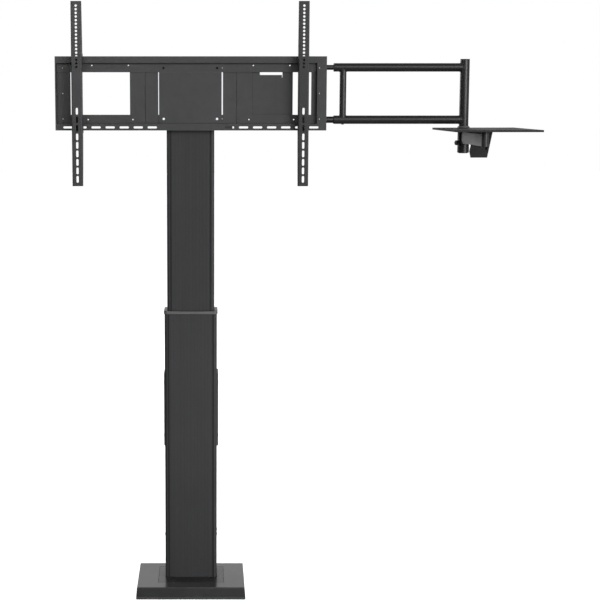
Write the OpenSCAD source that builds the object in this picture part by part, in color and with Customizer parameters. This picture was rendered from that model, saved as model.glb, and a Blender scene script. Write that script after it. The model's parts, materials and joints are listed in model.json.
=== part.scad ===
// Motor-driven lift column for a flat screen, with hanging arms and a side tray.
// Origin: on the floor, on the axis of the column. X runs along the screen, the
// viewer stands on the -Y side, and Z is up. All sizes are in millimetres.

/* [Base] */
// Width of the floor plate and its cover
base_w = 398; // [370:1:440]
// Depth of the floor plate and its cover
base_d = 296.5; // [270:0.5:330]
// Distance from the column axis to the back edge of the base
base_back = 113; // [95:1:125]
// Thickness of the steel floor plate
base_plate_t = 10; // [8:1:12]
// Height of the top of the cover above the floor
cover_h = 44.5; // [42:0.5:56]
// Sheet thickness of the cover
cover_t = 3; // [2:0.5:4]
// How far each cover side leans in from bottom to top
cover_lean = 3; // [1:0.5:6]
// Chamfer along the top edges of the cover
cover_chamfer = 1.5; // [0.5:0.5:2]
// Width of the trim round the foot of the column
trim_w = 240; // [225:5:260]
// How far the trim reaches in front of the column axis
trim_front = 123; // [110:1:140]
// How far the trim reaches behind the column
trim_rear_rim = 8; // [6:1:12]
// Distance of the floor anchor holes from the plate edges
anchor_inset = 30; // [25:1:40]
// Radius of the floor anchor holes
anchor_r = 5.5; // [4.5:0.5:7]
// Distance of the power inlet's middle from the base's left side
inlet_inset = 60; // [45:1:90]
// Thickness of the welded flange at the foot of the column
flange_t = 8; // [6:1:10]
// Height of the welded collar on that flange
flange_collar_h = 18; // [12:1:18]

/* [Column] */
// Width of the fixed outer profile
outer_w = 190.5; // [180:0.5:200]
// Depth of the fixed outer profile
outer_d = 120; // [112:1:130]
// Wall thickness of both profiles
profile_wall = 4; // [3:0.5:5]
// Corner radius of the outer profile
corner_r = 10; // [8:0.5:11]
// Gap between the outer profile's cavity and the inner profile
glide_gap = 5.75; // [5:0.25:7]
// Length of the outer profile
outer_len = 1026; // [900:1:1100]
// Length of the inner profile
inner_len = 1076; // [1000:1:1200]
// How far the inner profile stands raised from its lowest place
raised = 600; // [0:1:640]
// Distance between the ribs' grooves on the front and back faces
rib_pitch = 12.5; // [10:0.5:15]
// Width of one groove between ribs
rib_groove_w = 2; // [1:0.5:3]
// Depth of the grooves between ribs
rib_groove_d = 0.8; // [0.4:0.1:1.2]
// Width of the shadow groove beside the corner bead
bead_groove_w = 5.5; // [4:0.5:7]
// Depth of the shadow groove beside the corner bead
bead_groove_d = 2; // [1:0.5:2.5]
// Width of the corner bead outside the shadow groove
bead_w = 11; // [10.5:0.5:14]
// Height of the collar that closes the top of the outer profile
collar_h = 10; // [8:1:20]
// How far the collar reaches down over the profile
collar_skirt = 4; // [3:0.5:6]
// How far the collar stands proud of the outer profile
collar_lip = 2.5; // [1.5:0.5:4]
// Height of the two side ears on the collar
ear_h = 3; // [2:0.5:9]
// Running clearance between the collar and the inner profile
collar_gap = 0.8; // [0.5:0.1:1.5]
// Sliding clearance on the glide pads
glide_run = 0.3; // [0.2:0.05:0.5]

/* [Wall bracket] */
// Height of the middle of the wall bracket
wall_bracket_z = 662; // [500:1:800]
// Height of the wall bracket itself
wall_bracket_h = 275; // [220:1:320]
// Sheet thickness of the wall bracket
wall_bracket_t = 5.5; // [4:0.5:7]
// Distance from the back of the column to the wall
wall_gap = 54; // [46:1:70]
// Distance between the wall bolt holes across
wall_hole_x = 120; // [90:1:140]
// Distance between the wall bolt holes in height
wall_hole_z = 220; // [180:1:230]
// Radius of the wall bolt holes
wall_hole_r = 4.5; // [3.5:0.5:6]
// Distance of the bracket's side screws from its top and bottom ends
wing_screw_end = 37.5; // [30:0.5:45]

/* [Drive] */
// Radius of the drive motor can
motor_r = 30; // [26:1:36]
// Length of the drive motor can
motor_len = 120; // [100:1:130]
// Length of the gear housing on the motor
gear_len = 56; // [45:1:70]
// Thickness of the bearing block across the profile
block_t = 24; // [20:1:30]
// Radius of the lifting spindle
spindle_r = 10; // [9:0.5:12]
// Radius of the spindle journal in its bearing
journal_r = 6; // [5:0.5:7]
// Radius of the spindle bearing
bearing_r = 16; // [14:0.5:18]
// Length of the bearing
bearing_t = 10; // [8:0.5:12]
// Radius of the shaft collar above the bearing
shaft_collar_r = 14; // [12.5:0.5:15]
// Thickness of the shaft collar
shaft_collar_t = 8; // [6:0.5:10]
// Radius of the nut body
nut_r = 18; // [16:0.5:22]
// Radius of the nut flange
nut_flange_r = 26; // [24:0.5:30]
// Thickness of the nut flange
nut_flange_t = 6; // [5:0.5:8]
// Thickness of the plug in the foot of the inner profile
plug_t = 36; // [30:1:45]
// Length of one glide pad
glide_len = 60; // [40:1:70]

/* [Screen frame] */
// Distance of the frame's middle to the right of the column axis
frame_x = 2; // [0:0.5:4]
// Width of the frame that carries the screen
frame_w = 964; // [900:2:1000]
// Height of the frame
frame_h = 261; // [245:1:280]
// How far the frame's top stands above the inner profile
frame_over = 36; // [25:1:50]
// Depth of the frame's folded sides
frame_d = 40; // [35:1:50]
// Sheet thickness of frame, panels and arms
sheet_t = 2.5; // [2:0.25:3]
// Height of the frame's top bar
top_bar = 23.5; // [20:0.5:28]
// Height of the frame's bottom bar
bottom_bar = 23; // [20:0.5:28]
// Width of the frame's right bar
right_bar = 34; // [30:0.5:40]
// Width of the frame's narrow left bar
left_bar = 4; // [3:0.5:8]
// Depth of the recess from the bars back to the panels
recess = 15; // [12:0.5:18]
// Height of the rail along the top of the recess
rail_h = 32.3; // [28:0.1:36]
// Height of the panel strip below the windows
sill_h = 32.5; // [25:0.1:36]
// Half the width of the middle panel that carries the column
middle_half = 163.5; // [150:0.5:180]
// Half the width of the adapter plate in front of the column
adapter_half = 111.5; // [106:0.5:114]
// Width of the slit left of the adapter plate
slit_left = 2.7; // [1.5:0.1:6]
// Width of the slit right of the adapter plate
slit_right = 4.3; // [1.5:0.1:6]
// Nearer edge of each window, from the middle
window_near = 217; // [195:0.5:230]
// Width of the panel outside each window
window_side = 54; // [45:1:60]
// Thickness of the head bracket between column and panels
head_t = 6.75; // [5:0.25:8]
// Half the distance between the adapter holes
adapter_hole_x = 95; // [90:0.5:98]
// Radius of the adapter holes
adapter_hole_r = 4.1; // [3.6:0.1:4.8]
// Radius of the small accessory holes
small_hole_r = 2.2; // [2:0.1:3.2]
// Middle of the upper pair of accessory holes, from the middle of the frame
upper_pair_x = 286.6; // [280:0.1:295]
// Distance between the two upper accessory holes
upper_pair = 129.6; // [110:0.1:150]
// Distance between the two lower accessory holes
lower_pair = 159.6; // [140:0.1:170]
// Distance of the end screws from the frame's sides
end_screw_inset = 26; // [22:0.5:30]
// Spacing of the slots in the bottom bar
bar_slot_pitch = 50; // [45:1:52]
// Length of one slot in the bottom bar
bar_slot_len = 33.2; // [28:0.1:36]
// Width of one slot in the bottom bar
bar_slot_w = 7.3; // [6:0.1:9]
// Middle of the first slot, from the middle of the frame
bar_slot_near = 137.5; // [130:0.1:150]
// Width of the bar left whole beyond the last slot
bar_slot_end = 20; // [10:1:40]
// Width of the accessory cover inside the right window
lid_w = 145.5; // [130:0.5:185]
// Width of the slot at the top of the accessory cover
notch_w = 80; // [60:0.5:90]
// Height of the slot at the top of the accessory cover
notch_h = 10.3; // [6:0.1:12]
// Width of the control box
box_w = 46.5; // [36:0.5:50]
// Depth of the control box from front to back
box_d = 91; // [70:1:110]
// Height of the control box
box_h = 46; // [40:1:60]

/* [Hanging arms] */
// Distance between the two hanging arms
arm_spacing = 800; // [700:1:820]
// Length of one hanging arm
arm_len = 647; // [600:1:700]
// Width of one hanging arm
arm_w = 37.5; // [32:0.5:42]
// Depth of the arm's sides in the middle
arm_d = 36; // [30:0.5:40]
// Depth of the arm's sides at both ends
arm_end_d = 14; // [10:0.5:18]
// Gap between the arm's sides and the frame
arm_gap = 2; // [1:0.25:3]
// Number of round holes in an arm
arm_holes = 18; // [14:1:18]
// Spacing of the round holes
arm_hole_pitch = 12.5; // [12:0.1:13]
// Radius of the round holes
arm_hole_r = 4.1; // [3.5:0.1:5]
// Distance from the arm's top end to the first hole
arm_hole_top = 16; // [14:0.5:24]
// Number of long slots in an arm
arm_slots = 9; // [7:1:9]
// Spacing of the long slots
arm_slot_pitch = 30; // [29:0.1:31]
// Length of one long slot
arm_slot_len = 23.8; // [20:0.1:26]
// Width of one long slot
arm_slot_w = 8; // [7:0.1:10]
// Distance from the arm's bottom end to the last slot's middle
arm_slot_bottom = 24.5; // [18:0.5:30]
// Thickness of the hooks that hang on the frame
hook_t = 4; // [3:0.5:6]
// Clearance between the hooks and the frame
hook_gap = 0.4; // [0.3:0.1:1]
// Distance of the locking screw from the arm's middle, towards the frame's middle
lock_shift = 7; // [5:0.5:8]
// Radius of the locking screw's head
lock_head_r = 6; // [5:0.5:7]

/* [Side arm] */
// Radius of the two level tubes
tube_r = 15; // [14:0.25:16]
// Bore radius of the level tubes
tube_bore_r = 11.6; // [10:0.05:12]
// Radius of the upper guide rod
upper_rod_r = 8.8; // [7:0.1:9.2]
// Running clearance between rods, bushes and tubes
rod_run = 0.05; // [0.02:0.01:0.1]
// Distance from the frame's side to the start of the tubes
tube_gap = 26; // [21:1:40]
// Distance from the frame's side out to the post's axis
post_out = 493.5; // [420:0.5:540]
// Radius of the upright post
post_r = 16.8; // [15:0.1:18]
// Wall of the upright post
post_wall = 3; // [2:0.5:4]
// Height of the post's top above the upper tube's axis
post_above = 27.5; // [22:0.5:45]
// Height of the post's foot below the lower tube's axis
post_below = 117; // [100:1:130]
// Radius of the upright brace between the tubes
brace_r = 12; // [8:0.1:13]
// Distance from the tubes' start to the brace
brace_out = 34; // [30:0.5:60]
// Length of the guide rods outside the frame
rod_out = 279; // [240:1:300]
// Length of the guide rods inside the frame
rod_in = 101; // [80:1:120]
// Width of the blocks that hold the guide rods
rod_block_w = 22; // [16:1:28]

/* [Tray] */
// Width of the tray
tray_w = 296; // [280:1:330]
// Depth of the tray
tray_d = 400; // [360:1:430]
// Height of the tray's folded rim
tray_rim = 7; // [5:0.5:10]
// Distance from the post's axis to the tray's rear edge
tray_rear = 28; // [27:0.5:40]
// Distance from the post's axis to the tray's left edge
tray_left = 107; // [80:1:120]
// Depth of the tray's top below the lower tube's axis
tray_drop = 28.5; // [27:0.5:40]
// How far the tray arm stands turned about the post
tray_turn = 3; // [0:0.5:10]
// Wall of the hub and of the stop collar
hub_wall = 4; // [2:0.25:5]
// Running clearance of the hub on the post
hub_run = 0.05; // [0.02:0.01:0.1]
// Distance from the post's axis to the boss under the tray
link_len = 332; // [280:1:340]
// Thickness of the link bar
link_t = 20; // [16:1:24]
// Height of the link bar
link_h = 40; // [34:1:44]
// Wall of the link bar
link_wall = 2; // [1.5:0.25:3]
// Radius of the boss at the end of the link
boss_r = 12.6; // [11:0.1:14]
// Wall of that boss
boss_wall = 2; // [1.5:0.25:3]
// Height of the bell collar round the post on the tray
bell_h = 6.5; // [5:0.5:11]
// Foot radius of the bell collar
bell_r = 22; // [20.5:0.1:27]
// Radius of the hub's locking knob
knob_r = 8.4; // [7.5:0.1:9.5]
// Length of the knob's grip
knob_len = 11; // [8:0.5:13]
// How far the knob is turned from the left towards the front
knob_turn = 30; // [0:1:35]
// Reach of the gusset from the post's axis, at its foot
gusset_foot_w = 87.5; // [80:0.5:95]
// Reach of the gusset from the post's axis, at the tray
gusset_top_w = 108; // [98:0.5:120]

/* [Hidden] */
$fn = 48;

// Small lengths that several pieces share
eps = 0.01;
seat = 0.3;
low_gap = 30;
foot_rim = 18;
foot_collar = 6;
trim_lap = 6;
rod_r = tube_bore_r - rod_run;

// Column sections
cavity_w = outer_w - 2 * profile_wall;
cavity_d = outer_d - 2 * profile_wall;
inner_w = cavity_w - 2 * glide_gap;
inner_d = cavity_d - 2 * glide_gap;
inner_cavity_w = inner_w - 2 * profile_wall;
inner_cavity_d = inner_d - 2 * profile_wall;
inner_corner_r = corner_r - 1;

// Heights along the column
outer_bottom = base_plate_t;
outer_top = outer_bottom + outer_len;
motor_z = base_plate_t + 4;
gear_z = motor_z + motor_len;
block_z = gear_z + gear_len;
block_top = block_z + block_t;
inner_low = block_top + low_gap;
inner_bottom = inner_low + raised;
inner_top = inner_bottom + inner_len;
spindle_top = outer_top - 31;

// Places in the screen frame
frame_top = inner_top + frame_over;
frame_bottom = frame_top - frame_h;
frame_mid = (frame_top + frame_bottom) / 2;
recess_top = frame_top - top_bar;
recess_bottom = frame_bottom + bottom_bar;
window_top = recess_top - rail_h;
window_bottom = recess_bottom + sill_h;
window_far = frame_w / 2 - window_side;
bar_slots = floor((frame_w / 2 - bar_slot_end - bar_slot_near - bar_slot_len / 2) / bar_slot_pitch) + 1;
panel_back = -inner_d / 2 - head_t;
panel_front = panel_back - sheet_t;
frame_front = panel_front - recess;
frame_rear = frame_front + frame_d;
side_in = frame_w / 2 - sheet_t;
bar_hole_z = frame_bottom + 10.9;
rail_front = panel_front - sheet_t;
end_hole_x = frame_w / 2 - end_screw_inset;

// Places on the hanging arms
arm_back = frame_front - arm_gap;
arm_front = arm_back - arm_d;
arm_mid = frame_mid - 3;
arm_top = arm_mid + arm_len / 2;
arm_bottom = arm_mid - arm_len / 2;
hook_drop = 14;

// Places on the side arm
rod_seat = 1.45;
tube_y = panel_back + rod_r + rod_seat;
upper_z = frame_top - 38.4;
lower_z = frame_bottom + 37.7;
frame_right = frame_x + frame_w / 2;
tube_x = frame_right + tube_gap;
post_x = frame_right + post_out;
brace_x = tube_x + brace_out;
rod_start = frame_right - rod_in;
rod_end = frame_right + rod_out;
bush_len = 20;

// Places on the tray arm, in heights
tray_top = lower_z - tray_drop;
tray_under = tray_top - sheet_t;
post_top = upper_z + post_above;
post_foot = lower_z - post_below;
hub_out_r = post_r + hub_wall;
collar_top = post_foot + 31;
hub_foot = collar_top + 0.3;
link_z = tray_under - 12.5 - link_h;
knob_z = hub_foot + 4.2;
hub_flange_t = 4;
hub_flange_r = tray_rear - sheet_t - 0.5;

// A plain block between two corners
module block(a, b) {
    translate(a) cube(b - a);
}

// An outline in X and Z, drawn from y0 to y1
module plate_xz(y0, y1) {
    translate([0, y1, 0]) rotate([90, 0, 0]) linear_extrude(y1 - y0) children();
}

// An outline in Y and Z, drawn from x0 to x1
module plate_yz(x0, x1) {
    translate([x0, 0, 0]) rotate([90, 0, 90]) linear_extrude(x1 - x0) children();
}

// A rectangle with round corners about the origin
module round_rect(w, d, r) {
    square([w - 2 * r, d], center = true);
    square([w, d - 2 * r], center = true);
    for (sx = [-1, 1], sy = [-1, 1])
        translate([sx * (w / 2 - r), sy * (d / 2 - r)]) circle(r);
}

// A slot with round ends: along X, or upright
module slot_x(len, w) {
    square([len - w, w], center = true);
    for (s = [-1, 1]) translate([s * (len - w) / 2, 0]) circle(w / 2);
}
module slot_z(len, w) {
    rotate(90) slot_x(len, w);
}

// A round bar along Y through x, z, and one along X through y, z
module bar_y(x, z, r, y0, y1) {
    translate([x, y1, z]) rotate([90, 0, 0]) cylinder(h = y1 - y0, r = r);
}
module bar_x(y, z, r, x0, x1) {
    translate([x0, y, z]) rotate([0, 90, 0]) cylinder(h = x1 - x0, r = r);
}
module bar_z(x, y, r, z0, z1) {
    translate([x, y, z0]) cylinder(h = z1 - z0, r = r);
}

// Ribbed rectangular tube section, the same design for both profiles
module profile_section(w, d, r) {
    face = w - 2 * (bead_w + bead_groove_w);
    ribs = floor(face / rib_pitch);
    difference() {
        round_rect(w, d, r);
        square([w - 2 * profile_wall, d - 2 * profile_wall], center = true);
        for (side = [-1, 1]) {
            for (i = [0 : ribs])
                translate([(i - ribs / 2) * rib_pitch, side * d / 2])
                    square([rib_groove_w, 2 * rib_groove_d], center = true);
            for (s = [-1, 1])
                translate([s * (w / 2 - bead_w - bead_groove_w / 2), side * d / 2])
                    square([bead_groove_w, 2 * bead_groove_d], center = true);
        }
    }
}

// The base: steel plate, sheet cover, trim and the foot that holds the column
base_front = base_back - base_d;
base_mid = base_back - base_d / 2;
anchor_x = base_w / 2 - anchor_inset;
foot_w = outer_w + 2 * foot_rim;
foot_d = outer_d + 2 * foot_rim;
foot_bolt_x = foot_w / 2 - 8;
foot_bolt_y = foot_d / 2 - 8;
flange_top = base_plate_t + flange_t;

module base_plate() {
    color("#2c2c2e")
    difference() {
        block([-base_w / 2, base_front, 0], [base_w / 2, base_back, base_plate_t]);
        for (sx = [-1, 1], y = [base_front + anchor_inset, base_back - anchor_inset])
            bar_z(sx * anchor_x, y, anchor_r, -1, base_plate_t + 1);
        for (sx = [-1, 1], y = [base_front + 12, base_back - 12])
            bar_z(sx * (base_w / 2 - 12), y, 5, -1, base_plate_t + 1);
    }
}

// Closed form with leaning sides: shrink pulls every wall in by one distance
module cover_form(shrink, z0, z1) {
    half = base_w / 2 - shrink;
    front = base_front + shrink;
    back = base_back - shrink;
    ch = cover_chamfer;
    intersection() {
        plate_xz(base_front - 1, base_back + 1)
            polygon([[-half, z0], [half, z0], [half - cover_lean, z1 - ch],
                [half - cover_lean - ch, z1], [-half + cover_lean + ch, z1],
                [-half + cover_lean, z1 - ch]]);
        plate_yz(-base_w / 2 - 1, base_w / 2 + 1)
            polygon([[front, z0], [back, z0], [back - cover_lean, z1 - ch],
                [back - cover_lean - ch, z1], [front + cover_lean + ch, z1],
                [front + cover_lean, z1 - ch]]);
    }
}

trim_gap = 0.6;
trim_rear = outer_d / 2 + trim_rear_rim;
inlet_x = -base_w / 2 + inlet_inset;
inlet_w = 30;
inlet_h = 22;
inlet_z = base_plate_t + 5;

module base_cover() {
    color("#3a3a3c")
    difference() {
        cover_form(0, base_plate_t, cover_h);
        cover_form(cover_t, base_plate_t - 1, cover_h - cover_t);
        block([-trim_w / 2, -trim_front, cover_h - cover_t - 1], [trim_w / 2, trim_rear, cover_h + 1]);
        block([inlet_x - inlet_w / 2, base_back - 12, inlet_z],
            [inlet_x + inlet_w / 2, base_back + 1, inlet_z + inlet_h]);
    }
}

module foot_trim() {
    color("#39393b")
    difference() {
        union() {
            block([-trim_w / 2 + trim_gap, -trim_front + trim_gap, cover_h - cover_t],
                [trim_w / 2 - trim_gap, trim_rear - trim_gap, cover_h]);
            block([-trim_w / 2 - trim_lap, -trim_front - trim_lap, cover_h - cover_t - 2],
                [trim_w / 2 + trim_lap, trim_rear + trim_lap, cover_h - cover_t]);
        }
        block([-outer_w / 2 - seat, -outer_d / 2 - seat, 0],
            [outer_w / 2 + seat, outer_d / 2 + seat, cover_h + 1]);
    }
}

module foot_flange() {
    color("#2f2f31")
    difference() {
        union() {
            block([-foot_w / 2, -foot_d / 2, base_plate_t], [foot_w / 2, foot_d / 2, flange_top]);
            block([-outer_w / 2 - foot_collar, -outer_d / 2 - foot_collar, flange_top],
                [outer_w / 2 + foot_collar, outer_d / 2 + foot_collar, flange_top + flange_collar_h]);
        }
        translate([0, 0, base_plate_t - 1]) linear_extrude(flange_t + flange_collar_h + 2)
            round_rect(outer_w, outer_d, corner_r);
        for (sx = [-1, 1], sy = [-1, 1])
            bar_z(sx * foot_bolt_x, sy * foot_bolt_y, 4.2, 0, flange_top + 1);
    }
}

module foot_bolts() {
    color("#8c8c8f")
    for (sx = [-1, 1], sy = [-1, 1]) {
        bar_z(sx * foot_bolt_x, sy * foot_bolt_y, 4, base_plate_t, flange_top);
        translate([sx * foot_bolt_x, sy * foot_bolt_y, flange_top]) cylinder(h = 5, r = 6.5, $fn = 6);
    }
}

module levelling_screws() {
    color("#8c8c8f")
    for (sx = [-1, 1], y = [base_front + 12, base_back - 12])
        bar_z(sx * (base_w / 2 - 12), y, 5, 0.5, base_plate_t + 6);
}

// The fixed column
module outer_profile() {
    color("#303032")
    translate([0, 0, outer_bottom]) linear_extrude(outer_len) profile_section(outer_w, outer_d, corner_r);
}

ear_w = 9;
ear_len = 22;
module top_collar() {
    full_w = outer_w + 2 * collar_lip;
    full_d = outer_d + 2 * collar_lip;
    top = outer_top - collar_skirt + collar_h;
    color("#4a4a4c")
    difference() {
        union() {
            translate([0, 0, outer_top - collar_skirt]) linear_extrude(collar_h)
                round_rect(full_w, full_d, corner_r + collar_lip);
            intersection() {
                translate([0, 0, top - 1]) linear_extrude(ear_h + 1)
                    round_rect(full_w, full_d, corner_r + collar_lip);
                for (s = [-1, 1])
                    block([s * (full_w / 2 - ear_w / 2) - ear_w / 2, -full_d / 2, top - 1],
                        [s * (full_w / 2 - ear_w / 2) + ear_w / 2, ear_len - full_d / 2, top + ear_h]);
            }
        }
        translate([0, 0, outer_top - collar_skirt - 1]) linear_extrude(collar_skirt + 1)
            round_rect(outer_w, outer_d, corner_r);
        translate([0, 0, outer_top - 1]) linear_extrude(collar_h + ear_h + 2)
            round_rect(inner_w + 2 * collar_gap, inner_d + 2 * collar_gap, inner_corner_r);
    }
}

// Four pads on the wide faces and two on the narrow faces, standing on distance a from the axis
module pads(half_w, half_d, t, z0, len) {
    for (s = [-1, 1]) {
        for (x = [-0.3, 0.3])
            block([x * inner_w - 22, s * (half_d + t / 2) - t / 2, z0],
                [x * inner_w + 22, s * (half_d + t / 2) + t / 2, z0 + len]);
        block([s * (half_w + t / 2) - t / 2, -25, z0], [s * (half_w + t / 2) + t / 2, 25, z0 + len]);
    }
}

module outer_glides() {
    t = glide_gap - glide_run;
    color("#d9d9d2")
    pads(cavity_w / 2 - t, cavity_d / 2 - t, t, outer_top - 3 - glide_len, glide_len);
}

bracket_low = wall_bracket_z - wall_bracket_h / 2;
bracket_high = wall_bracket_z + wall_bracket_h / 2;
bracket_back = outer_d / 2 + wall_gap;
bracket_front = 22;
bracket_screw_y = 40;

module wall_bracket() {
    half = outer_w / 2 + wall_bracket_t;
    color("#2b2b2d")
    difference() {
        translate([0, 0, bracket_low]) linear_extrude(wall_bracket_h) difference() {
            union() {
                translate([-half, bracket_front + wall_bracket_t])
                    square([2 * half, bracket_back - bracket_front - wall_bracket_t]);
                for (s = [-1, 1])
                    translate([s * (half - wall_bracket_t), bracket_front + wall_bracket_t]) circle(wall_bracket_t);
            }
            translate([-outer_w / 2, bracket_front - 1])
                square([outer_w, bracket_back - bracket_front + 1 - wall_bracket_t]);
        }
        for (sx = [-1, 1], sz = [-1, 1])
            bar_y(sx * wall_hole_x / 2, wall_bracket_z + sz * wall_hole_z / 2, wall_hole_r,
                bracket_back - wall_bracket_t - 1, bracket_back + 1);
    }
}

module wall_bracket_screws() {
    x0 = outer_w / 2 + wall_bracket_t;
    color("#555558")
    for (s = [-1, 1], z = [-1, 1])
        bar_x(bracket_screw_y, wall_bracket_z + z * (wall_bracket_h / 2 - wing_screw_end), 5,
            s > 0 ? x0 : -x0 - 1.6, s > 0 ? x0 + 1.6 : -x0);
}

module power_inlet() {
    y0 = base_back - cover_lean - 22;
    y1 = base_back - cover_lean + 1;
    color("#1c1c1e") {
        difference() {
            block([inlet_x - inlet_w / 2, y0, inlet_z], [inlet_x + inlet_w / 2, y1, inlet_z + inlet_h]);
            block([inlet_x - inlet_w / 2 + 3, y0 + 4, inlet_z + 3],
                [inlet_x + inlet_w / 2 - 3, y1 + 1, inlet_z + inlet_h - 3]);
        }
        for (i = [-1 : 1])
            block([inlet_x + i * 7 - 1, y0 + 4, inlet_z + 9], [inlet_x + i * 7 + 1, y0 + 7, inlet_z + 13]);
    }
}

// The drive inside the fixed column
module drive_motor() {
    color("#6f6f73") {
        bar_z(0, 0, motor_r, motor_z, gear_z);
        block([-motor_r, -motor_r, base_plate_t], [motor_r, motor_r, motor_z]);
    }
}

module gear_housing() {
    color("#8a8a8e")
    difference() {
        bar_z(0, 0, motor_r + 5, gear_z, block_z);
        bar_z(0, 0, journal_r + rod_run, gear_z + 20, block_z + 1);
    }
}

module bearing_block() {
    color("#77777b")
    difference() {
        translate([0, 0, block_z]) linear_extrude(block_t)
            square([cavity_w, cavity_d], center = true);
        bar_z(0, 0, bearing_r, block_z + 6, block_top + 1);
        bar_z(0, 0, journal_r + 1.5, block_z - 1, block_top + 1);
    }
}

module spindle_bearing() {
    color("#b9b9bd")
    difference() {
        bar_z(0, 0, bearing_r, block_z + 6, block_z + 6 + bearing_t);
        bar_z(0, 0, journal_r + rod_run, block_z, block_top + 1);
    }
}

module block_screws() {
    color("#8c8c8f")
    for (s = [-1, 1], y = [-30, 30])
        bar_x(y, block_z + block_t / 2, 4, s > 0 ? outer_w / 2 : -outer_w / 2 - 2.2,
            s > 0 ? outer_w / 2 + 2.2 : -outer_w / 2);
}

// The turning spindle, which stays at one height
collar_z = block_z + 6 + bearing_t + seat;
module spindle() {
    color("#a8a8ad") {
        bar_z(0, 0, journal_r, gear_z + 24, collar_z + shaft_collar_t + eps);
        bar_z(0, 0, spindle_r, collar_z + shaft_collar_t, spindle_top);
        bar_z(0, 0, journal_r, spindle_top - eps, spindle_top + 8);
    }
}

module spindle_collar() {
    color("#77777b")
    difference() {
        bar_z(0, 0, shaft_collar_r, collar_z, collar_z + shaft_collar_t);
        bar_z(0, 0, journal_r, collar_z - 1, collar_z + shaft_collar_t + 1);
    }
}

module spindle_stop() {
    color("#77777b")
    difference() {
        bar_z(0, 0, shaft_collar_r, spindle_top, spindle_top + 6);
        bar_z(0, 0, journal_r, spindle_top - 1, spindle_top + 7);
    }
}

// The lifting profile and what it holds inside
module inner_profile() {
    color("#333335")
    translate([0, 0, inner_bottom]) linear_extrude(inner_len)
        profile_section(inner_w, inner_d, inner_corner_r);
}

module inner_plug() {
    color("#5c5c60")
    difference() {
        translate([0, 0, inner_bottom]) linear_extrude(plug_t)
            square([inner_cavity_w, inner_cavity_d], center = true);
        bar_z(0, 0, nut_r, inner_bottom - 1, inner_bottom + plug_t + 1);
    }
}

module spindle_nut() {
    color("#c8a24a")
    difference() {
        union() {
            bar_z(0, 0, nut_r, inner_bottom - eps, inner_bottom + plug_t + 4);
            bar_z(0, 0, nut_flange_r, inner_bottom - nut_flange_t, inner_bottom);
        }
        bar_z(0, 0, spindle_r + rod_run, inner_bottom - nut_flange_t - 1, inner_bottom + plug_t + 5);
    }
}

module inner_glides() {
    color("#d9d9d2")
    pads(inner_w / 2, inner_d / 2, glide_gap - glide_run, inner_bottom + 2, glide_len);
}

module head_plate() {
    color("#2f2f31")
    translate([0, 0, inner_top]) linear_extrude(6) round_rect(inner_w, inner_d, inner_corner_r);
}

// Welded plate between the column's front face and the middle panel
module head_bracket() {
    wide = adapter_hole_x + 10;
    narrow = inner_w / 2 - 1;
    color("#2b2b2d")
    difference() {
        plate_xz(panel_back, -inner_d / 2)
            polygon([[-narrow, frame_bottom + 5], [narrow, frame_bottom + 5],
                [narrow, window_top + 2], [wide, window_top + 2],
                [wide, recess_top], [-wide, recess_top],
                [-wide, window_top + 2], [-narrow, window_top + 2]]);
        for (s = [-1, 1])
            bar_y(s * adapter_hole_x, adapter_high_z, adapter_hole_r, panel_back - 1, -inner_d / 2 + 1);
    }
}

// Notch in the frame's right side that a guide rod passes through, open to the rear
module rod_notch(z, r) {
    bar_x(tube_y, z, r, frame_right - sheet_t - 1, frame_right + 1);
    block([frame_right - sheet_t - 1, tube_y, z - r], [frame_right + 1, frame_rear + 1, z + r]);
}

// Bars folded from one sheet: front, deep outer sides and short inner sides
module frame_bars() {
    open_l = -frame_w / 2 + left_bar;
    open_r = frame_w / 2 - right_bar;
    color("#3b3b3d")
    difference() {
        translate([frame_x, 0, 0]) union() {
            difference() {
                block([-frame_w / 2, frame_front, frame_bottom], [frame_w / 2, frame_rear, frame_top]);
                block([-side_in, frame_front + sheet_t, frame_bottom + sheet_t],
                    [side_in, frame_rear + 1, frame_top - sheet_t]);
                block([open_l, frame_front - 1, recess_bottom], [open_r, frame_rear, recess_top]);
            }
            difference() {
                block([open_l - 1.5, frame_front + eps, recess_bottom - sheet_t],
                    [open_r + sheet_t, panel_front, recess_top + sheet_t]);
                block([open_l, frame_front - 1, recess_bottom], [open_r, frame_rear, recess_top]);
            }
        }
        for (s = [-1, 1], i = [0 : bar_slots - 1])
            plate_xz(frame_front - 1, frame_front + sheet_t + 1)
                translate([frame_x + s * (bar_slot_near + i * bar_slot_pitch), bar_hole_z])
                    slot_x(bar_slot_len, bar_slot_w);
        block([-inner_w / 2 - 1.5, -inner_d / 2 - 0.5, frame_bottom - 1],
            [inner_w / 2 + 1.5, frame_rear + 1, frame_bottom + sheet_t + 1]);
        rod_notch(upper_z, upper_rod_r + 1);
        rod_notch(lower_z, rod_r + 1);
    }
}

// One window panel, drawn for the left and mirrored for the right
dot_top_z = recess_top - 8.3;
dot_low_z = recess_bottom + 15.4;
module window_panel() {
    difference() {
        block([-side_in, panel_front, recess_bottom - sheet_t],
            [-middle_half, panel_back, frame_top - sheet_t]);
        block([-window_far, panel_front - 1, window_bottom], [-window_near, panel_back + 1, window_top]);
        for (s = [-1, 1]) {
            bar_y(-upper_pair_x + s * lower_pair / 2, dot_low_z, small_hole_r, panel_front - 1, panel_back + 1);
            bar_y(-upper_pair_x + s * upper_pair / 2, dot_top_z, small_hole_r, panel_front - 1, panel_back + 1);
        }
    }
}

module left_panel() {
    color("#3e3e40") translate([frame_x, 0, 0]) window_panel();
}

module right_panel() {
    color("#3c3c3e") translate([frame_x, 0, 0]) mirror([1, 0, 0]) window_panel();
}

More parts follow.
